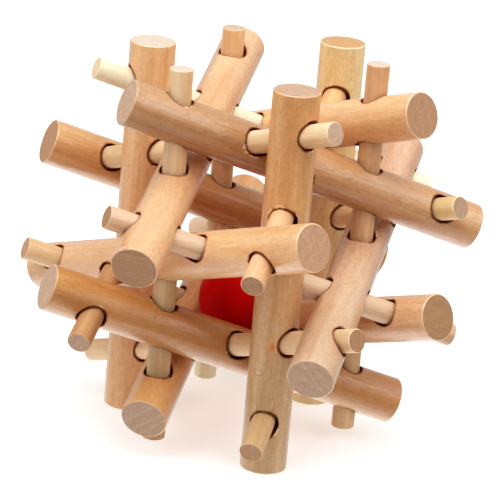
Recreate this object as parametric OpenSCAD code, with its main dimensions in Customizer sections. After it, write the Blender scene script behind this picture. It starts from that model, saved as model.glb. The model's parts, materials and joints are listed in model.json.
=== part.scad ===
// Caged-ball burr puzzle: four bundles of crossing wooden rods round a loose ball.
//
// Every rod runs along one of the four body diagonals of a cube, so any two rods that
// aren't parallel cross at the same angle. Each bundle holds three thick rods and three
// thin dowels, spaced in turn round a ring about the middle of the cage. A dowel runs
// through the middles of five thick rods, and each thick rod is drilled for five dowels.
//
// Origin: on the table, under the middle of the cage. +Z is up, along the upright rods
// that the puzzle stands on. -Y is the front.

/* [Thick rods] */
// Diameter of a thick rod
rod_d = 16; // [15:0.5:17]
// Length of a thick rod
rod_l = 133; // [130:1:145]
// Distance between neighbouring holes, along a rod
pitch = 24; // [23:0.25:25]

/* [Thin dowels] */
// Diameter of a dowel
dowel_d = 8; // [7:0.5:8.5]
// Length of a dowel
dowel_l = 131; // [125:1:132]
// How much wider a hole is than its dowel
hole_play = 1.6; // [0.4:0.1:1.8]

/* [How far each thick rod reaches up past its holes' middle] */
// Upright rods, all alike so that they stand level
upright_offset = -2; // [-4:0.5:4]
// Rods that rise to the left: lower, middle, upper
left_offsets = [0.5, 1, 0.5]; // [-4:0.5:4]
// Rods that rise to the right: upper, lower, middle
right_offsets = [4, -3, 2.5]; // [-4:0.5:4]
// Rods that rise to the back: middle, upper, lower
back_offsets = [-1.5, -1.5, 3]; // [-4:0.5:4]

/* [How far up each dowel has slid] */
// Upright dowels: right, back, front
upright_slides = [2.5, -1.5, 0.5]; // [-2:0.5:6]
// Dowels that rise to the left: upper, middle, lower
left_slides = [3, -1, 1]; // [-6:0.5:6]
// Dowels that rise to the right: lower, upper, middle
right_slides = [-3, 2, -2]; // [-6:0.5:6]
// Dowels that rise to the back: middle, lower, upper
back_slides = [-4, -5, -1.5]; // [-6:0.5:6]

/* [Ball] */
// Diameter of the ball
ball_d = 31; // [28:1:36]

/* [Edges] */
// Eased edge round the end of a thick rod
rod_chamfer = 0.4; // [0.2:0.1:1.5]
// Eased edge round the end of a dowel
dowel_chamfer = 0.3; // [0.2:0.1:1]

/* [Hidden] */
$fn = 96;
BUNDLES = ["upright", "left", "right", "back"];
ROD_PLACES = [
    ["left", "front", "back"],
    ["lower", "middle", "upper"],
    ["upper", "lower", "middle"],
    ["middle", "upper", "lower"]
];
DOWEL_PLACES = [
    ["right", "back", "front"],
    ["upper", "middle", "lower"],
    ["lower", "upper", "middle"],
    ["middle", "lower", "upper"]
];
function rod_name(b, k) = str("rod_", BUNDLES[b], "_", ROD_PLACES[b][k]);
function dowel_name(b, k) = str("dowel_", BUNDLES[b], "_", DOWEL_PLACES[b][k]);
// Every bundle with every place in it
PLACES = [for (b = [0:3]) for (k = [0:2]) [b, k]];

// Angle between two bundles: that between the body diagonals of a cube
cross_angle = acos(1 / 3);
// Angle between a body diagonal and the cube's own axes
cube_tilt = acos(1 / sqrt(3));
// Seen from above, the first of the cube's own axes points this far round from +X
cube_axis_start = 30;
quarter_turn = 90;
half_turn = 180;
// Every rod's axis is this far from the middle of the cage
ring_r = 2 * pitch / sqrt(1.5);
// The six places round a bundle's ring are thick and thin in turn
rod_start = 180;
dowel_start = 0;
place_step = 120;
// The middle of the cage, above the lower ends of the upright rods
cage_h = rod_l / 2 - upright_offset;
hole_d = dowel_d + hole_play;
// Long enough to pass right through a rod on the slant
hole_l = 2 * rod_d;
OFFSETS = [
    [upright_offset, upright_offset, upright_offset],
    left_offsets,
    right_offsets,
    back_offsets
];
SLIDES = [upright_slides, left_slides, right_slides, back_slides];

// The ball lies on the three lowest oblique rods. Their axes pass the middle line of the
// cage half a ring radius away, one and a half pitches below the middle.
ball_gap = 0.1;
cradle_h = cage_h - 1.5 * pitch;
cradle_reach = (rod_d + ball_d) / 2 + ball_gap;
cradle_rise = sqrt(pow(cradle_reach, 2) - pow(ring_r / 2, 2)) / sin(cross_angle);
ball_h = cradle_h + cradle_rise;

ROD_COLORS = ["#c99a63", "#b9824f", "#d2a06a", "#d9ae84"];
dowel_color = "#ecd3a4";
ball_color = "#b00d0d";

// A round bar along Z, centred, with an eased edge at each end
module bar(d, l, chamfer) {
    r = d / 2;
    rotate_extrude()
        polygon([
            [0, -l / 2],
            [r - chamfer, -l / 2],
            [r, -l / 2 + chamfer],
            [r, l / 2 - chamfer],
            [r - chamfer, l / 2],
            [0, l / 2]
        ]);
}

// A bar of bundle b, raised by that much. After a half turn the bar's +Z end is its lower
// end, so in every bundle but the upright one up is towards -Z.
module raised(b, rise) {
    up = b == 0 ? 1 : -1;
    translate([0, 0, up * rise])
        children();
}

// The five holes of a thick rod whose cage side faces -X. Each is a third of a turn on
// from the last, and slants across the rod at the angle between bundles.
module dowel_holes() {
    for (j = [-2:2])
        translate([0, 0, j * pitch])
            rotate([0, half_turn - cross_angle, quarter_turn - place_step * j])
                cylinder(d = hole_d, h = hole_l, center = true);
}

// Carries the upright bundle onto bundle b: half a turn about one of the cube's own axes
module in_bundle(b) {
    turn = b == 0 ? 0 : half_turn;
    side = cube_axis_start + place_step * (b - 1);
    cube_axis = [sin(cube_tilt) * cos(side), sin(cube_tilt) * sin(side), cos(cube_tilt)];
    translate([0, 0, cage_h])
        rotate(a = turn, v = cube_axis)
            children();
}

// Puts a bar on its place on the ring, with its +X side facing away from the middle
module on_ring(angle) {
    rotate([0, 0, angle])
        translate([ring_r, 0, 0])
            children();
}

module thick_rod(b, k) {
    color(ROD_COLORS[b])
        in_bundle(b)
            on_ring(rod_start + place_step * k)
                difference() {
                    raised(b, OFFSETS[b][k])
                        bar(rod_d, rod_l, rod_chamfer);
                    dowel_holes();
                }
}

module thin_dowel(b, k) {
    color(dowel_color)
        in_bundle(b)
            on_ring(dowel_start + place_step * k)
                raised(b, SLIDES[b][k])
                    bar(dowel_d, dowel_l, dowel_chamfer);
}

module ball() {
    color(ball_color)
        translate([0, 0, ball_h])
            sphere(d = ball_d);
}

for (place = PLACES) {
    b = place[0];
    k = place[1];
    thick_rod(b, k);
    thin_dowel(b, k);
}
ball();
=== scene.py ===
import json
import math

import bmesh
import bpy
import numpy as np
from mathutils import Matrix, Vector, noise


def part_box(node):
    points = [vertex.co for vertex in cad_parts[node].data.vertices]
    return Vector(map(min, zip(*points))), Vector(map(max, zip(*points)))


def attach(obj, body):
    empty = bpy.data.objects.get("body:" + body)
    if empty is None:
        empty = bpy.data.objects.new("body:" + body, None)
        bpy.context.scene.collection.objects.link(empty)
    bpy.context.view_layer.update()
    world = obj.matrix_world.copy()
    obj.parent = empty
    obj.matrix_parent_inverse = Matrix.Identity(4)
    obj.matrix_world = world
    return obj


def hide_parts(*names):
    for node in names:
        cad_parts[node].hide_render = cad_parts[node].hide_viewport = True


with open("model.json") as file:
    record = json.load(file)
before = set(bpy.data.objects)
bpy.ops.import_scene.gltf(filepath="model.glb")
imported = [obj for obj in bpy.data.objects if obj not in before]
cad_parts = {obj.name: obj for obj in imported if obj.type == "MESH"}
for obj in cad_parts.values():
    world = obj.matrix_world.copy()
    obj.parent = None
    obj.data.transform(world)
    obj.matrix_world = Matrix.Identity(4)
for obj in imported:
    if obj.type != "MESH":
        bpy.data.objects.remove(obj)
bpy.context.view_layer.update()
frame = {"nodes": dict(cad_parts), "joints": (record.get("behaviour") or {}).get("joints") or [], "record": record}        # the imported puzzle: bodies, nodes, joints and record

MM = 0.001

# ---------------------------------------------------------------- sizes of the looks
ROD_EASE = 0.4 * MM         # eased edge round a thick rod's end
DOWEL_EASE = 0.3 * MM       # eased edge round a dowel's end
ROD_DENTS = 0.09 * MM       # how uneven a thick rod is
DOWEL_DENTS = 0.05 * MM
DENT_LENGTH = 22 * MM

HOLE_PLAY = 1.6 * MM        # how much wider a hole is than its dowel
HOLE_WANDER = 0.25 * MM     # how far off its mark a hole was drilled
# and how far sideways all of a bundle's holes are, as {(rods' bundle, dowels' bundle): by}
HOLE_LEAN = {("upright", "back"): 0.5 * MM}

# The edge of a hole is eased and a little uneven. Splinters have broken away from it where
# a slow noise round it rises above a level.
RIM_EASE = 0.15 * MM
RIM_UNEVEN = 0.5
CHIP = 0.6 * MM
CHIP_LEVEL = 0.28
CHIP_STEEPNESS = 2.6
CHIP_BARE = 1.6             # bare wood shows from this many times the eased edge's width
SLOW_NOISE = 1.1
CRUMB_NOISE = 4.5
FINE_NOISE = 7.0
SEED_SHIFT = 3.7

# Holes with a piece broken off their edge, as (rod, which hole from its low end, which of its
# two openings), and where round the opening
BROKEN_EDGES = {("rod_left_upper", 3, -1): 1.2, ("rod_upright_front", 3, -1): 0.7}
BREAK = 0.75 * MM
BREAK_REACH = 0.8           # how far round the opening to each side, in radians

# A splinter stands off the rim of one rod's low end: the side of the rim it starts from,
# the way it points, and its size
SPLINTERED = "rod_back_upper"
SPLINTER_FROM = (-0.15, 0, -1)
SPLINTER_WAY = (-1, 0, 0)
SPLINTER_LENGTH = 4.5 * MM
SPLINTER_THICK = 0.45 * MM
SPLINTER_CURL = 0.9 * MM

# Mesh steps: round a rod, up the side of one hole's patch, and out from the hole, where the
# steps crowd towards the hole
AROUND = 60
PATCH_UP = 14
PATCH_OUT = 8
PATCH_CROWD = 1.6
EDGE_FADE = 0.06            # how far out, as a share of the patch, the hole's edge shows
RIM_STEPS = 4
WALL_STEPS = 8
DOWEL_AROUND = 40
BALL_STEPS = 28
SPLINTER_AROUND = 8
SPLINTER_STEPS = 8
STEP_ALONG = 3 * MM
MERGE = 0.004 * MM

# The soft profile of an eased edge, in shares of its width: how far in from the side and
# down from the end face each point lies. It never stands proud of the flat chamfer.
SOFT_EDGE = ((0, 1.45), (0, 1.3), (0.1, 0.95), (0.5, 0.5), (0.95, 0.1), (1.3, 0), (1.45, 0))
FACE_RINGS = (0.75, 0.5, 0.25, 0)


# ---------------------------------------------------------------- reading the frame
def unit(v):
    v = np.array(v, float)
    return v / np.linalg.norm(v)


def corners(node):
    low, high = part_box(node)
    return np.array(low), np.array(high)


def middle_of(node):
    return sum(corners(node)) / 2


RISE = {
    joint["child"].split("_")[1]: unit(joint["axis"])
    for joint in frame["joints"]
    if joint["child"].startswith("dowel_")
}
BODY_OF = {
    node: body
    for body, members in frame["record"]["behaviour"]["bodies"].items()
    for node in members
}
RODS = sorted(n for n in frame["nodes"] if n.startswith("rod_"))
DOWELS = sorted(n for n in frame["nodes"] if n.startswith("dowel_"))


def upright_size(kind):
    """(radius, length) of a bar, measured on an upright one."""
    low, high = corners(next(n for n in frame["nodes"] if n.startswith(kind + "_upright")))
    size = np.round(high - low, 5)
    return size[0] / 2, size[2]


def cage_middle():
    """Where the middle line of the bundle that rises to the right meets the upright one."""
    foot = np.mean([middle_of(n) for n in RODS if "_upright_" in n], axis=0)
    side = np.mean([middle_of(n) for n in RODS if "_right_" in n], axis=0)
    reach = (foot - side)[0] / RISE["right"][0]
    return np.array([foot[0], foot[1], side[2] + reach * RISE["right"][2]])


ROD_R, ROD_L = upright_size("rod")
DOWEL_R, DOWEL_L = upright_size("dowel")
HOLE_R = DOWEL_R + HOLE_PLAY / 2
CAGE_MIDDLE = cage_middle()


class Bar:
    """Where a straight bar lies: its middle, and its own axes x, y and z, z along it."""

    def __init__(self, node, seed):
        self.node = node
        self.seed = seed
        self.bundle = node.split("_")[1]
        self.middle = middle_of(node)
        self.z = RISE[self.bundle]
        out = self.middle - CAGE_MIDDLE
        self.x = unit(out - out.dot(self.z) * self.z)
        self.y = np.cross(self.z, self.x)

    def to_world(self, points):
        return self.middle + points @ np.array([self.x, self.y, self.z])

    def seen_from(self, way):
        """A direction in the room, in the bar's own axes."""
        return np.array([self.x, self.y, self.z]) @ np.array(way, float)

    def crossing(self, other):
        """(height along this bar, other's direction round it) where they cross, or None."""
        normal = np.cross(self.z, other.z)
        gap = other.middle - self.middle
        if np.linalg.norm(normal) < 0.1 or abs(gap.dot(unit(normal))) > DOWEL_R / 2:
            return None
        height = np.linalg.det([gap, other.z, normal]) / normal.dot(normal)
        way = other.z * np.sign(other.z.dot(self.z))
        return height, math.atan2(way.dot(self.y), way.dot(self.x))


BARS = {n: Bar(n, k) for k, n in enumerate(RODS + DOWELS)}
SLANT_COS = abs(RISE["left"].dot(RISE["right"]))
SLANT_SIN = math.sqrt(1 - SLANT_COS ** 2)


# ---------------------------------------------------------------- skins
class Skin:
    """A piece's surface in its own axes: rows of points joined by quads.

    Each point's marks say how much it lies on a hole's edge, how deep in a hole, and how
    splintered the edge is there.
    """

    def __init__(self):
        self.points = []
        self.marks = []
        self.faces = []
        self.count = 0

    def add(self, rows, closed=True, edge=0.0, bore=0.0, chips=0.0):
        """Rows of points, each row run round to its own start if it is closed."""
        rows = np.array(rows, float)
        n, m = rows.shape[:2]
        index = self.count + np.arange(n * m).reshape(n, m)
        if closed:
            index = np.hstack([index, index[:, :1]])
        a, b = index[:-1], index[1:]
        quads = np.stack([a[:, :-1], a[:, 1:], b[:, 1:], b[:, :-1]], axis=-1)
        marks = np.zeros((n, m, 3))
        marks[:, :, 0] = np.reshape(edge, (-1, 1))
        marks[:, :, 1] = np.reshape(bore, (-1, 1))
        marks[:, :, 2] = chips
        self.points.append(rows.reshape(-1, 3))
        self.marks.append(marks.reshape(-1, 3))
        self.faces.append(quads.reshape(-1, 4))
        self.count += n * m

    def joined(self):
        return tuple(np.concatenate(x) for x in (self.points, self.marks, self.faces))


def on_cylinder(radius, angle, height):
    angle, height = np.broadcast_arrays(angle, height)
    return np.stack([radius * np.cos(angle), radius * np.sin(angle), height], axis=-1)


def patch_border(half_height):
    """Points round half of a rod's side, from the top's middle: (distance round it, height)."""
    turn = np.linspace(-math.pi / 2, math.pi / 2, AROUND // 2 + 1)
    rise = np.linspace(-half_height, half_height, PATCH_UP + 1)
    half = AROUND // 4
    top = np.full(AROUND // 2 + 1, half_height)
    right = np.full(PATCH_UP + 1, math.pi / 2)
    sides = [
        (turn[half:-1], top[half:-1]),
        (right[:-1], rise[:0:-1]),
        (turn[:0:-1], -top[:0:-1]),
        (-right[:-1], rise[:-1]),
        (turn[:half], top[:half]),
    ]
    return np.concatenate([np.stack(side, axis=-1) for side in sides]) * (ROD_R, 1)


def edge_widths(seed, turn, broken_at):
    """How wide a hole's edge is at each angle round it, with a splinter gone here and there."""
    widths = []
    for angle in turn:
        place = Vector((math.cos(angle), math.sin(angle), seed * SEED_SHIFT))
        fine = noise.noise(place * FINE_NOISE)
        gone = CHIP_STEEPNESS * max(0.0, noise.noise(place * SLOW_NOISE) - CHIP_LEVEL)
        width = RIM_EASE * (1 + RIM_UNEVEN * fine) + CHIP * gone * (0.7 + 1.2 * fine)
        if broken_at is not None:
            off = math.remainder(angle - broken_at, 2 * math.pi) / BREAK_REACH
            crumbs = 0.6 + 1.5 * noise.noise(place * CRUMB_NOISE)
            width += BREAK * max(0.0, 1 - off * off) * max(0.0, crumbs)
        widths.append(width)
    return np.array(widths)


class Hole:
    """A slanting hole through a rod, in the rod's own axes.

    Its axis crosses the rod's at a height, leaning towards an angle round the rod, and the
    drill missed that mark by a little. Round the hole's axis, psi is 0 at its upper side.
    """

    def __init__(self, seed, height, angle, lean_by):
        wander = HOLE_WANDER * np.random.default_rng(seed).uniform(-1, 1, 2)
        self.turned, self.raised = (wander + (lean_by, 0)) / (ROD_R, 1)
        self.seed = seed
        self.height = height
        self.angle = angle

    def on_rod(self, flat, side):
        """Points on the rod, from their (distance round, distance up) about one opening."""
        facing = self.angle + (0 if side > 0 else math.pi)
        return on_cylinder(ROD_R, facing + side * flat[:, 0] / ROD_R, self.height + flat[:, 1])

    def on_wall(self, psi, reach):
        """Points on the hole's wall: at an angle round its axis and a distance along it."""
        angle = self.angle + self.turned
        outward = np.array([math.cos(angle), math.sin(angle), 0])
        across = np.array([-math.sin(angle), math.cos(angle), 0])
        along = np.array([0, 0, 1])
        axis = SLANT_SIN * outward + SLANT_COS * along
        top = SLANT_SIN * along - SLANT_COS * outward
        ring = np.outer(np.cos(psi), top) + np.outer(np.sin(psi), across)
        return along * (self.height + self.raised) + np.outer(reach, axis) + HOLE_R * ring

    def open_on(self, skin, side, half_height, broken_at):
        """The rod's side round one opening, and the eased edge down to the wall.

        Gives back where the wall starts there, as psi and a distance along the axis.
        """
        border = patch_border(half_height)
        lean = side * ROD_R * SLANT_COS / SLANT_SIN
        psi = np.arctan2(border[:, 0], border[:, 1] - lean) % (2 * math.pi)
        depth = np.sqrt(ROD_R ** 2 - (HOLE_R * np.sin(psi)) ** 2)
        turn = np.arctan2(HOLE_R * np.sin(psi), depth)
        rise = side * depth * SLANT_COS / SLANT_SIN + HOLE_R * np.cos(psi) / SLANT_SIN
        reach = (side * depth + HOLE_R * np.cos(psi) * SLANT_COS) / SLANT_SIN

        width = edge_widths(self.seed + 0.5 * side, psi, broken_at)
        chips = np.clip(width / RIM_EASE - CHIP_BARE, 0, 1)
        mouth = np.stack([ROD_R * (turn + side * self.turned), rise + self.raised], axis=-1)
        away = border - mouth
        away /= np.linalg.norm(away, axis=1, keepdims=True)
        outer = mouth + away * width[:, None]

        shares = (np.arange(PATCH_OUT + 1) / PATCH_OUT) ** PATCH_CROWD
        rows = [self.on_rod(outer + (border - outer) * share, side) for share in shares]
        skin.add(rows, edge=np.maximum(0, 1 - shares / EDGE_FADE), chips=chips)

        reach = reach - side * width
        start = self.on_rod(outer, side)
        sharp = self.on_rod(mouth, side)
        inner = self.on_wall(psi, reach)
        bends = np.linspace(0, 1, RIM_STEPS + 1)
        rows = [(1 - b) ** 2 * start + 2 * b * (1 - b) * sharp + b ** 2 * inner for b in bends]
        skin.add(rows, edge=1 - bends, bore=np.sqrt(bends), chips=chips)
        return np.array([psi, reach])

    def drill(self, skin, half_height, broken):
        """Both sides of the rod round the hole, and the hole's wall between them."""
        first, last = (self.open_on(skin, s, half_height, broken[s]) for s in (1, -1))
        shares = np.linspace(0, 1, WALL_STEPS + 1)
        skin.add([self.on_wall(*(first + (last - first) * f)) for f in shares], bore=1.0)


def cap(skin, start, end, radius, ease, angles):
    """The plain end of a bar: from height start out to end, over the eased edge, to its axis."""
    way = math.copysign(1, end - start)
    edge_start = end - way * SOFT_EDGE[0][1] * ease
    steps = max(1, round(abs(edge_start - start) / STEP_ALONG))
    heights = np.linspace(start, edge_start, steps + 1)
    rows = [on_cylinder(radius, angles, h) for h in heights[:-1]]
    rows += [on_cylinder(radius - i * ease, angles, end - way * d * ease) for i, d in SOFT_EDGE]
    face = radius - SOFT_EDGE[-1][0] * ease
    rows += [on_cylinder(face * share, angles, end) for share in FACE_RINGS]
    skin.add(rows)


def splinter(skin, bar):
    """A thin curl of wood, from the rim of the bar's low end out to a point."""
    out = unit(bar.seen_from(SPLINTER_FROM) * (1, 1, 0))
    way = bar.seen_from(SPLINTER_WAY) * (1, 1, 0)
    way = unit(way - way.dot(out) * out)
    down = np.array([0, 0, -1])
    root = (ROD_R - SPLINTER_THICK) * out + (ROD_L / 2 - SPLINTER_THICK) * down
    turns = np.linspace(0, 2 * math.pi, SPLINTER_AROUND, endpoint=False)
    rows = []
    for share in np.linspace(0, 1, SPLINTER_STEPS + 1):
        thick = SPLINTER_THICK * math.sqrt(1 - share)
        bend = SPLINTER_CURL * share ** 2
        middle = root + way * SPLINTER_LENGTH * share + (out + down) * bend
        ring = np.outer(np.cos(turns), out) + np.outer(np.sin(turns), down)
        rows.append(middle + thick * ring)
    skin.add(rows)


def rod_skin(bar):
    skin = Skin()
    if bar.node == SPLINTERED:
        splinter(skin, bar)
    crossings = ((bar.crossing(BARS[d]), BARS[d].bundle) for d in DOWELS)
    holes = sorted((*place, bundle) for place, bundle in crossings if place)
    half_height = (holes[-1][0] - holes[0][0]) / (len(holes) - 1) / 2
    for k, (height, angle, bundle) in enumerate(holes):
        lean_by = HOLE_LEAN.get((bar.bundle, bundle), 0)
        broken = {side: BROKEN_EDGES.get((bar.node, k, side)) for side in (1, -1)}
        Hole(10 * bar.seed + 2 * k, height, angle, lean_by).drill(skin, half_height, broken)
    for (height, angle, bundle), way in ((holes[0], -1), (holes[-1], 1)):
        angles = angle + math.pi / 2 + np.arange(AROUND) * 2 * math.pi / AROUND
        cap(skin, height + way * half_height, way * ROD_L / 2, ROD_R, ROD_EASE, angles)
    return skin


def dowel_skin():
    skin = Skin()
    angles = np.arange(DOWEL_AROUND) * 2 * math.pi / DOWEL_AROUND
    for way in (-1, 1):
        cap(skin, 0, way * DOWEL_L / 2, DOWEL_R, DOWEL_EASE, angles)
    return skin


def ball_skin(radius):
    """A cube's six faces, swelled onto a sphere."""
    skin = Skin()
    line = np.tan(np.linspace(-math.pi / 4, math.pi / 4, BALL_STEPS + 1))
    u, v = np.meshgrid(line, line, indexing="ij")
    for axis in range(3):
        for way in (-1, 1):
            face = np.stack([np.full_like(u, way), u, v], axis=-1)
            face = np.roll(face, axis, axis=-1)
            skin.add(radius * face / np.linalg.norm(face, axis=-1, keepdims=True), closed=False)
    return skin


# ---------------------------------------------------------------- objects
def dented(points, seed, depth):
    """Points drawn in towards the bar's axis by a slow unevenness."""
    shift = Vector((seed * 5.3, seed * 1.7, 0))
    amounts = [0.5 + 0.5 * noise.noise(Vector(p) / DENT_LENGTH + shift) for p in points]
    widest = np.hypot(points[:, 0], points[:, 1]).max()
    share = 1 - depth * np.array(amounts) / widest
    return points * np.stack([share, share, np.ones_like(share)], axis=-1)


def set_vectors(mesh, name, values):
    attribute = mesh.attributes.new(name, "FLOAT_VECTOR", "POINT")
    attribute.data.foreach_set("vector", np.ascontiguousarray(values, np.float32).ravel())


def weld(mesh):
    """Merges doubled points, and turns every face outwards."""
    work = bmesh.new()
    work.from_mesh(mesh)
    bmesh.ops.remove_doubles(work, verts=work.verts, dist=MERGE)
    bmesh.ops.recalc_face_normals(work, faces=work.faces)
    work.to_mesh(mesh)
    work.free()
    mesh.shade_smooth()


def build(name, skin, to_room, material):
    """An object from a skin, with a function that takes its points into the room's axes."""
    local, marks, faces = skin.joined()
    mesh = bpy.data.meshes.new(name)
    mesh.from_pydata(to_room(local).tolist(), [], faces.tolist())
    set_vectors(mesh, "grain", local / MM)
    set_vectors(mesh, "marks", marks)
    weld(mesh)
    mesh.materials.append(material)
    piece = bpy.data.objects.new(name, mesh)
    bpy.context.scene.collection.objects.link(piece)
    return piece


def build_bar(bar, skin, dents, material):
    def to_room(points):
        return bar.to_world(dented(points, bar.seed, dents))

    return build("wood_" + bar.node, skin, to_room, material)


def build_ball(material):
    low, high = corners("ball")
    skin = ball_skin((high - low)[0] / 2)
    return build("lacquered_ball", skin, lambda points: (low + high) / 2 + points, material)


def stand_in(piece, node):
    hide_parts(node)
    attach(piece, BODY_OF[node])


# ---------------------------------------------------------------- materials
class Paint:
    """A node tree, built by short calls that each give back an output socket."""

    def __init__(self, owner):
        self.owner = owner
        owner.use_nodes = True
        self.tree = owner.node_tree
        self.shader = self.tree.nodes.get("Principled BSDF")

    def feed(self, socket, value):
        """Links a socket into another, or sets it to a number, a vector or a colour."""
        if isinstance(value, bpy.types.NodeSocket):
            self.tree.links.new(value, socket)
        elif socket.type == "RGBA" and len(value) == 3:
            socket.default_value = (*value, 1)
        else:
            socket.default_value = value

    def put(self, kind, inputs, output=0, **settings):
        """A new node of a kind, with its inputs fed, and the output that is asked for."""
        node = self.tree.nodes.new("ShaderNode" + kind)
        for name, value in settings.items():
            setattr(node, name, value)
        for name, value in inputs.items():
            self.feed(node.inputs[name], value)
        return node.outputs[output]

    def attribute(self, name):
        return self.put("Attribute", {}, "Vector", attribute_name=name)

    def math(self, operation, a, b=0.0):
        return self.put("Math", {0: a, 1: b}, operation=operation)

    def vector(self, operation, a, b=(0, 0, 0)):
        output = "Value" if operation in ("LENGTH", "DOT_PRODUCT") else "Vector"
        return self.put("VectorMath", {0: a, 1: b}, output, operation=operation)

    def split(self, vector):
        node = self.tree.nodes.new("ShaderNodeSeparateXYZ")
        self.feed(node.inputs[0], vector)
        return node.outputs

    def cloud(self, vector, scale=1.0, detail=2.0, roughness=0.5, output="Fac"):
        sockets = {"Vector": vector, "Scale": scale, "Detail": detail, "Roughness": roughness}
        return self.put("TexNoise", sockets, output)

    def between(self, value, low, high, to_low=0.0, to_high=1.0):
        """Runs smoothly from to_low, where the value is low, to to_high, where it is high."""
        sockets = {
            "Value": value, "From Min": low, "From Max": high,
            "To Min": to_low, "To Max": to_high,
        }
        return self.put("MapRange", sockets, interpolation_type="SMOOTHSTEP")

    def mix(self, share, a, b, mode="MIX"):
        inputs = {0: share, 6: a, 7: b}
        return self.put("Mix", inputs, 2, data_type="RGBA", blend_type=mode)

    def mix_numbers(self, share, a, b):
        return self.put("Mix", {0: share, 2: a, 3: b}, 0, data_type="FLOAT")

    def bump(self, strength, distance, height):
        sockets = {"Strength": strength, "Distance": distance, "Height": height}
        return self.put("Bump", sockets, "Normal")


def shade(tint, factors):
    return tuple(t * f for t, f in zip(tint, factors))


# The wood's figure, as noises that are drawn out along the bar: how fast each changes across
# the bar and along it, per millimetre, and its detail and roughness
FIGURE = {
    "streaks": (0.20, 0.010, 2.0, 0.5),
    "fibre": (1.1, 0.05, 3.0, 0.6),
    "blotch": (0.10, 0.035, 2.0, 0.5),
    "mottle": (0.55, 0.30, 2.0, 0.6),
    "speckle": (1.3, 0.9, 2.0, 0.75),
    "pores": (3.2, 0.45, 1.0, 0.5),
    "dings": (0.5, 1.4, 1.0, 0.5),
}

# The noises that darken it: where each starts to show, where it is full, and what it does
# to the colour there
DARKENING = {
    "blotch": (0.42, 0.70, (0.86, 0.72, 0.60)),
    "fibre": (0.35, 0.68, (0.78, 0.68, 0.58)),
    "mottle": (0.35, 0.65, (0.86, 0.80, 0.74)),
    "speckle": (0.35, 0.70, (0.80, 0.74, 0.68)),
    "pores": (0.62, 0.72, (0.55, 0.45, 0.36)),
    "dings": (0.74, 0.79, (0.70, 0.60, 0.50)),
}

# What the other features do to the colour under them
STREAK_DARK, STREAK_PALE = (0.93, 0.89, 0.85), (1.04, 1.05, 1.07)
LATE_WOOD = (0.80, 0.70, 0.58)
KNOT_HALO, KNOT_HEART = (1.10, 0.80, 0.50), (0.75, 0.42, 0.22)
SCRAPE_LIP = (0.55, 0.42, 0.30)
SPECK_DARK, SPECK_PALE = (0.82, 0.79, 0.77), (1.14, 1.16, 1.17)
END_PATCH = (0.88, 0.84, 0.82)
END_RING = (0.74, 0.68, 0.64)
SAW_PALE, SAW_DARK = (1.22, 1.22, 1.24), (0.80, 0.77, 0.76)
# Dark brown at a hole's edge: the drill's scorch, and painted shade in the gap round the dowel
SCORCH_AND_GAP_SHADE = (0.36, 0.19, 0.09)
# A hole's wall: scorched raw wood, darkened further as painted shade inside the hole
BORE_WALL_AND_SHADE = (0.40, 0.18, 0.07)
GRAIN_DEPTH = 0.08 * MM
BARE_ROUGH = 0.8


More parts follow.
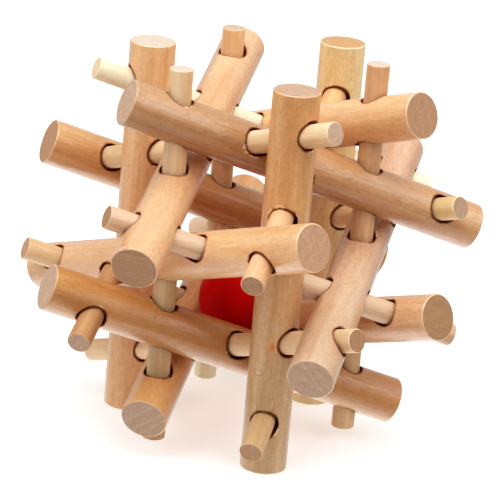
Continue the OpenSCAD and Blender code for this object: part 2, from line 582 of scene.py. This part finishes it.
class Wood(Paint):
    """Varnished wood with its grain along a bar, and bare end grain on the bar's two faces.

    Everything is measured in millimetres, in the bar's own axes. The tones are the side's
    colour at the bar's low end and at its high end, and the colour of its end faces.
    """

    def __init__(self, name, seed, tones, look, radius, half_length):
        super().__init__(bpy.data.materials.new(name))
        self.low_tone, self.high_tone, self.end_tone = tones
        self.look = look
        self.radius = radius
        self.half_length = half_length
        self.rng = np.random.default_rng(seed)
        self.place = self.attribute("grain")
        self.height = self.split(self.place)["Z"]
        self.moved = self.vector("ADD", self.place, tuple(self.rng.uniform(-400, 400, 3)))
        self.figure = {word: self.drawn_out(*sizes) for word, sizes in FIGURE.items()}
        self.late = self.late_wood()
        self.speck = self.cloud(self.moved, 2.2, 3.0, 0.7)

    def drawn_out(self, across, along, detail, roughness):
        scaled = self.vector("MULTIPLY", self.moved, (across, across, along))
        return self.cloud(scaled, 1.0, detail, roughness)

    def late_wood(self):
        """The dark part of each growth ring: rings round the pith, which lies off the bar."""
        away, turn = self.rng.uniform(*self.look["pith"]), self.rng.uniform(0, 2 * math.pi)
        pith = (away * math.cos(turn), away * math.sin(turn), 0)
        slow = self.vector("MULTIPLY", self.moved, (0.05, 0.05, 0.012))
        warp = self.vector("MULTIPLY", self.cloud(slow, output="Color"),
                           (self.look["warp"], self.look["warp"], 0))
        bent = self.vector("ADD", self.place, warp)
        flat = self.vector("MULTIPLY", bent, (1, 1, self.rng.uniform(-0.02, 0.02)))
        reach = self.vector("LENGTH", self.vector("SUBTRACT", flat, pith))
        ring = self.math("FRACT", self.math("DIVIDE", reach, self.look["ring"]))
        return self.math("MULTIPLY", self.between(ring, 0.1, 0.85), self.between(ring, 1.0, 0.88))

    def shown(self, word):
        low, high, darker = DARKENING[word]
        return self.between(self.figure[word], low, high)

    def stain(self):
        """How much the figure darkens or lightens the wood."""
        streaks = self.between(self.figure["streaks"], 0.35, 0.65)
        stain = self.mix(streaks, STREAK_DARK, STREAK_PALE)
        rings = self.math("MULTIPLY", self.late, self.look["rings"])
        stain = self.mix(rings, stain, LATE_WOOD, "MULTIPLY")
        for word, (low, high, darker) in DARKENING.items():
            amount = self.math("MULTIPLY", self.shown(word), self.look[word])
            stain = self.mix(amount, stain, darker, "MULTIPLY")
        return stain

    def tone(self):
        """The plain colour of the side, running from one end's tone to the other's."""
        wander = self.between(self.figure["mottle"], 0.3, 0.7, -8.0, 8.0)
        along = self.math("ADD", self.height, wander)
        reach = self.half_length * 0.9
        return self.mix(self.between(along, -reach, reach), self.low_tone, self.high_tone)

    def from_spot(self, middle, across, along):
        """0 at the middle of a spot, and about 1 at its ragged edge."""
        offset = self.vector("SUBTRACT", self.place, middle)
        scaled = self.vector("MULTIPLY", offset, (1 / across, 1 / across, 1 / along))
        ragged = self.between(self.figure["mottle"], 0.3, 0.7, -0.35, 0.35)
        return self.math("ADD", self.vector("LENGTH", scaled), ragged)

    def knot(self, side, spot):
        """A dark heart in a wide orange halo."""
        away = self.from_spot(*spot)
        for edge, full, amount, factors in ((2.6, 0.8, 0.45, KNOT_HALO),
                                            (1.0, 0.3, 0.7, KNOT_HEART)):
            colour = shade(self.high_tone, factors)
            side = self.mix(self.between(away, edge, full, 0.0, amount), side, colour)
        return side

    def scrape(self, side, spot):
        """A patch of bare wood with a darker lip round it."""
        away = self.from_spot(*spot)
        lip = self.math("MULTIPLY", self.between(away, 0.8, 1.1), self.between(away, 1.6, 1.2))
        side = self.mix(self.math("MULTIPLY", lip, 0.4), side, shade(self.high_tone, SCRAPE_LIP))
        return self.mix(self.between(away, 1.1, 0.5, 0.0, 0.3), side, self.look["rim"])

    def saw_lines(self):
        """A noise that changes in one direction only, across the end faces."""
        turn = self.rng.uniform(0, math.pi)
        across = self.vector("DOT_PRODUCT", self.moved, (math.cos(turn), math.sin(turn), 0))
        return self.cloud(self.put("CombineXYZ", {"X": across}), 0.75)

    def end_grain(self):
        """Bare end grain, with fine specks, faint growth rings and saw lines."""
        patch = self.cloud(self.moved, 0.35)
        saw = self.saw_lines()
        ends = self.mix(self.between(self.speck, 0.30, 0.70),
                        shade(self.end_tone, SPECK_DARK), shade(self.end_tone, SPECK_PALE))
        for amount, factors in (
            (self.between(patch, 0.35, 0.65, 0.0, 0.35), END_PATCH),
            (self.math("MULTIPLY", self.late, 0.20), END_RING),
            (self.between(saw, 0.50, 0.66, 0.0, 0.35), SAW_PALE),
            (self.between(saw, 0.46, 0.34, 0.0, 0.28), SAW_DARK),
        ):
            ends = self.mix(amount, ends, shade(self.end_tone, factors))
        return ends

    def near_ends(self):
        """Where the side's edge is worn, and where an end face is, both a little frayed."""
        ease, end = self.look["ease"], self.half_length
        height = self.math("ABSOLUTE", self.height)
        reach = self.vector("LENGTH", self.vector("MULTIPLY", self.place, (1, 1, 0)))
        wobble = self.math("MULTIPLY", self.math("SUBTRACT", self.speck, 0.5), ease)
        worn = self.math("ADD", height, wobble)
        frayed = self.math("ADD", reach, wobble)
        on_edge = self.between(worn, end - ease * 0.9, end - ease * 0.2)
        at_end = self.between(height, end - ease * 0.5, end - ease * 0.1)
        inside = self.between(frayed, self.radius - ease * 0.7, self.radius - ease * 1.1)
        return on_edge, self.math("MULTIPLY", at_end, inside)

    def scorch_and_gap_shade(self, edge):
        """Where a hole's edge is darkened, more in some places than in others: the drill's scorch, and
        painted shade in the gap round the dowel.
        """
        patchy = self.between(self.figure["mottle"], 0.30, 0.55, 0.45, 1.0)
        return self.math("MULTIPLY", self.between(edge, 0.25, 0.60), patchy)

    def relief(self, on_face):
        """The height of the surface: raised fibre and specks, with pores and dings in it."""
        relief = self.math("ADD", self.figure["fibre"],
                           self.math("MULTIPLY", self.figure["speckle"], 0.8))
        for word, depth in (("pores", 0.5), ("dings", 1.5)):
            dip = self.math("MULTIPLY", self.shown(word), depth)
            relief = self.math("SUBTRACT", relief, dip)
        return self.math("ADD", relief, self.math("MULTIPLY", on_face, self.speck))

    def finish(self, knots, scrapes):
        """Joins all of it on the shader, and gives back the material."""
        look = self.look
        edge, bore, chips = self.split(self.attribute("marks"))
        on_edge, on_face = self.near_ends()
        # Darker at a hole's edge: drill scorch, and painted shade of the gap round the dowel
        scorch_and_gap_shade = self.scorch_and_gap_shade(edge)
        bare = self.math("MAXIMUM", on_face, self.math("MAXIMUM", bore, scorch_and_gap_shade))
        chipped = self.math("MULTIPLY", self.between(edge, 0.15, 0.5), chips)

        tone = self.tone()
        rim = self.mix(0.5, tone, look["rim"])
        colour = self.mix(1.0, tone, self.stain(), "MULTIPLY")
        for spot in knots:
            colour = self.knot(colour, spot)
        for spot in scrapes:
            colour = self.scrape(colour, spot)
        for amount, over in (
            (self.math("MULTIPLY", on_edge, look["worn"]), rim),
            (on_face, self.end_grain()),
            # a hole's edge: drill scorch, and painted shade of the gap round the dowel
            (scorch_and_gap_shade, shade(self.high_tone, SCORCH_AND_GAP_SHADE)),
            # a hole's wall: scorched wood, and painted shade inside the hole
            (bore, shade(self.high_tone, BORE_WALL_AND_SHADE)),
            (chipped, rim),
        ):
            colour = self.mix(amount, colour, over)

        varnish = self.between(self.figure["streaks"], 0.3, 0.7,
                               look["rough"] - 0.05, look["rough"] + 0.07)
        bump = self.bump(look["bump"], GRAIN_DEPTH, self.relief(on_face))
        self.feed(self.shader.inputs["Base Color"], colour)
        self.feed(self.shader.inputs["Roughness"], self.mix_numbers(bare, varnish, BARE_ROUGH))
        self.feed(self.shader.inputs["Coat Weight"], self.mix_numbers(bare, look["coat"], 0.0))
        self.feed(self.shader.inputs["Normal"], bump)
        self.feed(self.shader.inputs["Coat Normal"], bump)
        self.shader.inputs["Coat Roughness"].default_value = look["coat_rough"]
        self.shader.inputs["Specular IOR Level"].default_value = 0.3
        return self.owner


# How the varnished rods and the nearly bare dowels look: how far off the pith lies, how much
# the rings are warped and how wide they are, then how strong each feature is
ROD_LOOK = {
    "pith": (14, 45), "warp": 11, "ring": 4.0, "rings": 0.25, "blotch": 0.45, "fibre": 0.25,
    "mottle": 0.40, "speckle": 0.45, "pores": 0.25, "dings": 0.7, "rim": (0.86, 0.60, 0.42),
    "worn": 0.7, "ease": ROD_EASE / MM, "rough": 0.40, "bump": 0.9, "coat": 1.0, "coat_rough": 0.26,
}
DOWEL_LOOK = {
    "pith": (6, 30), "warp": 6, "ring": 2.4, "rings": 0.22, "blotch": 0.35, "fibre": 0.22,
    "mottle": 0.30, "speckle": 0.22, "pores": 0.15, "dings": 0.5, "rim": (0.90, 0.70, 0.50),
    "worn": 0.8, "ease": DOWEL_EASE / MM, "rough": 0.50, "bump": 0.5, "coat": 0.25, "coat_rough": 0.35,
}

# Shades of the varnished sides, and then of the bare end faces. They weren't chosen by hand: a
# scratch program fitted each bar's colours to the photo, and another grouped them into these
# shades and said which bar has which. Only a few were changed afterwards.
SHADES = {
    "ivory": (0.93, 0.83, 0.60),
    "cream": (0.93, 0.70, 0.53),
    "butter": (0.93, 0.69, 0.38),
    "straw": (0.87, 0.62, 0.39),
    "apricot": (0.87, 0.52, 0.28),
    "peach": (0.78, 0.53, 0.31),
    "honey": (0.75, 0.45, 0.26),
    "amber": (0.73, 0.41, 0.19),
    "rose": (0.71, 0.42, 0.28),
    "sand": (0.70, 0.48, 0.33),
    "oat": (0.65, 0.45, 0.26),
    "russet": (0.64, 0.36, 0.18),
    "chestnut": (0.60, 0.30, 0.11),
    "toffee": (0.50, 0.28, 0.14),
    "end biscuit": (0.77, 0.56, 0.37),
    "end chalk": (0.61, 0.47, 0.38),
    "end blush": (0.52, 0.35, 0.25),
    "end clay": (0.49, 0.29, 0.18),
    "end ginger": (0.50, 0.28, 0.14),
    "end grey": (0.45, 0.29, 0.20),
    "end umber": (0.43, 0.25, 0.15),
    "end nut": (0.38, 0.22, 0.12),
}

# Each bar's varnished side at its low end and at its high end, and its bare end faces
TONES = {
    "rod_upright_left": ("apricot", "apricot", "end chalk"),
    "rod_upright_front": ("oat", "amber", "end grey"),
    "rod_upright_back": ("butter", "butter", "end ginger"),
    "rod_left_lower": ("chestnut", "chestnut", "end blush"),
    "rod_left_middle": ("chestnut", "amber", "end umber"),
    "rod_left_upper": ("russet", "toffee", "end blush"),
    "rod_right_lower": ("honey", "honey", "end nut"),
    "rod_right_middle": ("honey", "apricot", "end clay"),
    "rod_right_upper": ("apricot", "apricot", "end umber"),
    "rod_back_lower": ("amber", "russet", "end blush"),
    "rod_back_middle": ("sand", "rose", "end blush"),
    "rod_back_upper": ("honey", "honey", "end umber"),
    "dowel_upright_right": ("peach", "honey", "end chalk"),
    "dowel_upright_back": ("ivory", "apricot", "end blush"),
    "dowel_upright_front": ("oat", "straw", "end chalk"),
    "dowel_left_upper": ("ivory", "ivory", "end biscuit"),
    "dowel_left_middle": ("sand", "sand", "end nut"),
    "dowel_left_lower": ("peach", "peach", "end clay"),
    "dowel_right_lower": ("straw", "straw", "end nut"),
    "dowel_right_upper": ("peach", "straw", "end blush"),
    "dowel_right_middle": ("cream", "butter", "end grey"),
    "dowel_back_middle": ("toffee", "toffee", "end blush"),
    "dowel_back_lower": ("oat", "oat", "end clay"),
    "dowel_back_upper": ("honey", "amber", "end umber"),
}
BALL_RED = (0.62, 0.002, 0.001)
BALL_BLOTCH = (0.86, 0.8, 0.8)

# Marks on single bars: the side each faces, its height above the bar's middle, and its size
# across and along the bar
KNOTS = {"rod_upright_front": (((0.16, -0.99, 0), -20.5, 0.9, 1.7),)}
SCRAPES = {
    "rod_upright_front": (
        ((-0.35, -0.94, 0), -30.5, 1.4, 0.8),
        ((0.35, -0.94, 0), -41.5, 0.6, 2.4),
        ((0.85, -0.53, 0), -39.5, 1.4, 0.4),
    ),
    "rod_back_upper": (((-0.75, 0, 0.66), -65.4, 3.6, 0.9),),
}


def spots(bar, table):
    """A bar's marks, as (middle, across, along) in its own axes, in millimetres."""
    found = []
    for facing, height, across, along in table.get(bar.node, ()):
        side = ROD_R / MM * unit(bar.seen_from(facing) * (1, 1, 0))
        found.append(((side[0], side[1], height), across, along))
    return found


def wood(prefix, bar, look, radius, length):
    tones = [SHADES[word] for word in TONES[bar.node]]
    paint = Wood(prefix + bar.node, bar.seed, tones, look, radius / MM, length / 2 / MM)
    return paint.finish(spots(bar, KNOTS), spots(bar, SCRAPES))


def lacquer():
    """The ball's thick red lacquer, a little blotched, with a fine orange peel."""
    paint = Paint(bpy.data.materials.new("red_lacquer"))
    place = paint.attribute("grain")
    blotch = paint.between(paint.cloud(place, 0.12), 0.3, 0.7)
    haze = paint.cloud(place, 0.6, 3.0, 0.6)
    bump = paint.bump(0.25, 0.1 * MM, paint.cloud(place, 0.9))
    colour = paint.mix(blotch, shade(BALL_RED, BALL_BLOTCH), BALL_RED)
    paint.feed(paint.shader.inputs["Base Color"], colour)
    paint.feed(paint.shader.inputs["Roughness"], paint.between(haze, 0.3, 0.7, 0.50, 0.60))
    paint.feed(paint.shader.inputs["Normal"], bump)
    paint.shader.inputs["Specular IOR Level"].default_value = 0.08
    return paint.owner


# ---------------------------------------------------------------- the puzzle
for node in RODS:
    bar = BARS[node]
    varnished = wood("varnished_", bar, ROD_LOOK, ROD_R, ROD_L)
    stand_in(build_bar(bar, rod_skin(bar), ROD_DENTS, varnished), node)

for node in DOWELS:
    bar = BARS[node]
    pale = wood("pale_", bar, DOWEL_LOOK, DOWEL_R, DOWEL_L)
    stand_in(build_bar(bar, dowel_skin(), DOWEL_DENTS, pale), node)

stand_in(build_ball(lacquer()), "ball")


# ---------------------------------------------------------------- floor, light, camera
# The camera was worked out by a scratch program's fit of all the bars to the photo.
CAMERA_TURN = math.radians(12.9)        # how far round to the right of the front
CAMERA_RISE = math.radians(18.7)        # how far above the level of the cage's middle
CAMERA_ROLL = math.radians(5.0)         # the object leans this far to the right
CAMERA_DISTANCE = 1.013
CAMERA_LENS = 211.8
AIM_RIGHT = 0.4 * MM                    # what the camera looks at, from the cage's middle
AIM_DOWN = 4.4 * MM

# The white studio, as (direction, strength, narrowness): a lit table below, walls that
# throw light back, and a large softbox to the left and to the right above the camera. The
# strengths started from a scratch program's fit to the photo, and some were changed by hand.
SKY = (
    ((0, 0, -1), 2.1, 2), ((-1, 0, 0), 0.55, 2), ((0, 1, 0), 0.57, 2),
    ((-1, -1, 1), 1.4, 6), ((1, -0.3, 0.9), 2.8, 6), ((1, 1, 1), 0.32, 6),
)
SOFTBOX_PLACE = (-0.15, -0.25, 1.3)
SOFTBOX_SIZE = 1.2
SOFTBOX_POWER = 15.0
FLOOR_SIZE = 8.0
FLOOR_WHITES = (0.90, 0.90, 0.90), (0.93, 0.93, 0.93)
FLOOR_GLOW = 0.30           # the white table's own light, which keeps its shadows faint
TONE_CONTRAST = 0.4
TONE_STEPS = 12
DISPLAY_GAMMA = 2.2


def floor_paint():
    paint = Paint(bpy.data.materials.new("pale_floor"))
    spread = paint.cloud(paint.put("TexCoord", {}, "Object"), 6.0, 3.0)
    paint.feed(paint.shader.inputs["Base Color"], paint.mix(spread, *FLOOR_WHITES))
    paint.shader.inputs["Roughness"].default_value = 0.9
    paint.shader.inputs["Specular IOR Level"].default_value = 0.1
    paint.shader.inputs["Emission Color"].default_value = (1, 1, 1, 1)
    paint.shader.inputs["Emission Strength"].default_value = FLOOR_GLOW
    return paint.owner


def add_floor():
    """A plain floor, which the bars' undersides and their varnish don't see."""
    half = FLOOR_SIZE / 2
    points = [(-half, -half, 0), (half, -half, 0), (half, half, 0), (-half, half, 0)]
    mesh = bpy.data.meshes.new("floor")
    mesh.from_pydata(points, [], [(0, 1, 2, 3)])
    mesh.materials.append(floor_paint())
    floor = bpy.data.objects.new("floor", mesh)
    bpy.context.scene.collection.objects.link(floor)
    floor.visible_diffuse = False
    floor.visible_glossy = False
    floor.visible_shadow = False


def add_softbox():
    lamp = bpy.data.lights.new("top_softbox", "AREA")
    lamp.shape = "DISK"
    lamp.size = SOFTBOX_SIZE
    lamp.energy = SOFTBOX_POWER
    holder = bpy.data.objects.new("top_softbox", lamp)
    holder.location = SOFTBOX_PLACE
    aim = Vector(CAGE_MIDDLE) - Vector(SOFTBOX_PLACE)
    holder.rotation_euler = aim.to_track_quat("-Z", "Y").to_euler()
    bpy.context.scene.collection.objects.link(holder)


def add_world():
    """White all round to the eye, giving more light from some sides than from others."""
    paint = Paint(bpy.data.worlds.new("studio"))
    direction = paint.put("TexCoord", {}, "Generated")
    level = 0.0
    for way, strength, narrowness in SKY:
        facing = paint.math("MAXIMUM", paint.vector("DOT_PRODUCT", direction, unit(way)), 0.0)
        lobe = paint.math("MULTIPLY", paint.math("POWER", facing, narrowness), strength)
        level = paint.math("ADD", lobe, level)
    seen = paint.put("LightPath", {}, "Is Camera Ray")
    background = paint.tree.nodes["Background"]
    background.inputs["Color"].default_value = (1, 1, 1, 1)
    paint.feed(background.inputs["Strength"], paint.mix_numbers(seen, level, 1.0))
    bpy.context.scene.world = paint.owner


def set_tone():
    """A camera's gentle S-curve: darker shadows and lighter highlights."""
    view = bpy.context.scene.view_settings
    view.view_transform = "Standard"
    view.use_curve_mapping = True
    curve = view.curve_mapping.curves[3]
    for step in range(1, TONE_STEPS):
        shown = step / TONE_STEPS
        bent = shown + TONE_CONTRAST * shown * (1 - shown) * (2 * shown - 1)
        curve.points.new(shown ** DISPLAY_GAMMA, bent ** DISPLAY_GAMMA)
    view.curve_mapping.update()


def add_camera():
    right = Vector((math.cos(CAMERA_TURN), math.sin(CAMERA_TURN), 0))
    level = Vector((math.sin(CAMERA_TURN), -math.cos(CAMERA_TURN), 0))
    back = level * math.cos(CAMERA_RISE) + Vector((0, 0, math.sin(CAMERA_RISE)))
    up = back.cross(right)
    right, up = (
        right * math.cos(CAMERA_ROLL) + up * math.sin(CAMERA_ROLL),
        up * math.cos(CAMERA_ROLL) - right * math.sin(CAMERA_ROLL),
    )
    place = Vector(CAGE_MIDDLE) + back * CAMERA_DISTANCE
    back = (place - (Vector(CAGE_MIDDLE) + right * AIM_RIGHT - up * AIM_DOWN)).normalized()
    right = up.cross(back).normalized()
    up = back.cross(right)
    camera = bpy.data.objects.new("camera", bpy.data.cameras.new("camera"))
    camera.data.lens = CAMERA_LENS
    camera.matrix_world = Matrix.Translation(place) @ Matrix(
        (right, up, back)).transposed().to_4x4()
    bpy.context.scene.collection.objects.link(camera)
    bpy.context.scene.camera = camera


add_floor()
add_world()
add_softbox()
add_camera()
set_tone()
